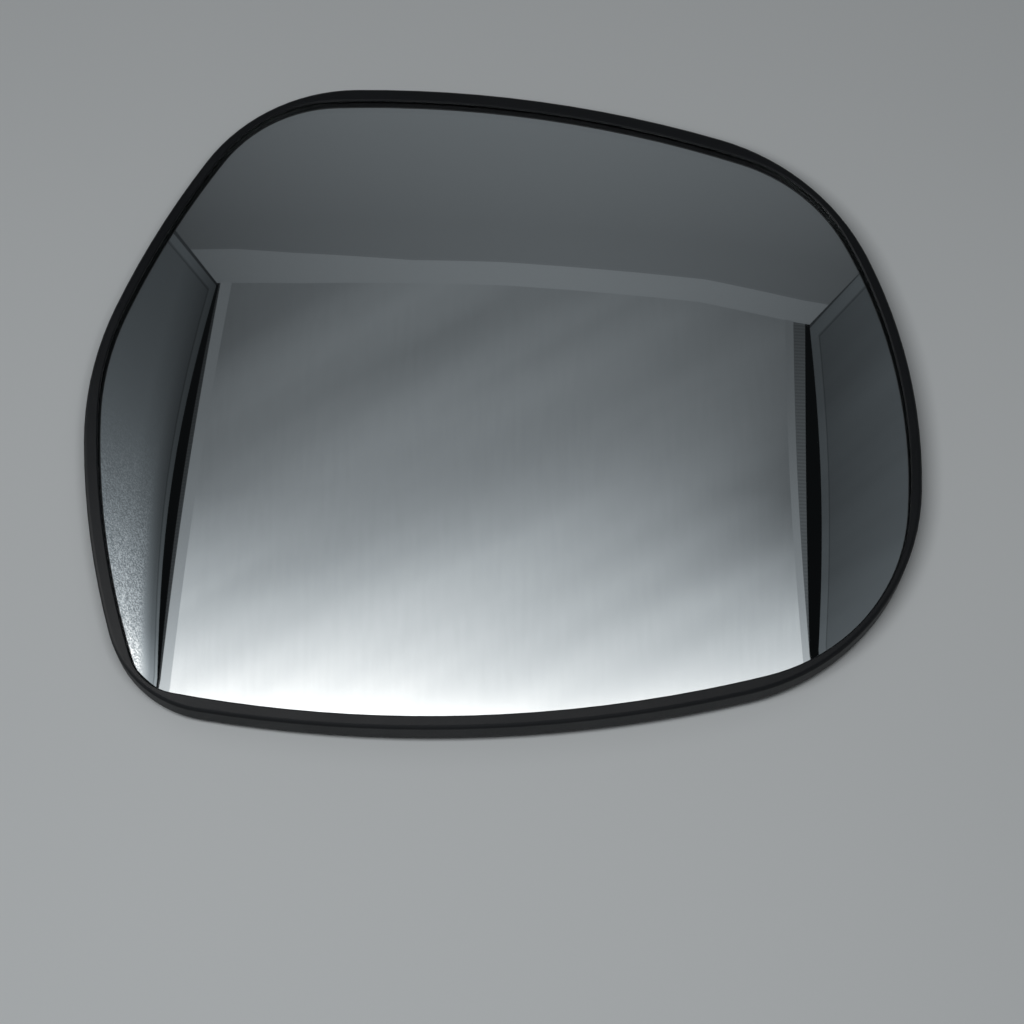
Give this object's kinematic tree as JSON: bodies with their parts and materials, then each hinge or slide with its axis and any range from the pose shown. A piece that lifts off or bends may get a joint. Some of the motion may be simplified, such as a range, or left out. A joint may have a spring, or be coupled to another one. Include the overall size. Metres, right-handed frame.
{
  "type": "car door mirror glass",
  "caption": "Convex car door mirror glass with rounded corners, held by a black moulded rim and plate whose back has a ribbed hub that snaps onto the adjuster.",
  "frame": {"origin": "on the axis of the hub, in the plane of the hub's end, which the part lies on", "axes": "+Z out of the mirror's face along the hub's axis, +X along the mirror's longer side to the right as seen from the face, +Y to the upper edge"},
  "size_m": [0.1944, 0.1602, 0.0138],
  "materials": {
    "mirror": "polished",
    "adhesive_foam": "matte",
    "black_plastic": "satin"
  },
  "bodies": {
    "root": {"mirror_glass": "mirror", "adhesive_pad": "adhesive_foam", "backing_plate": "black_plastic"}
  },
  "joints": []
}
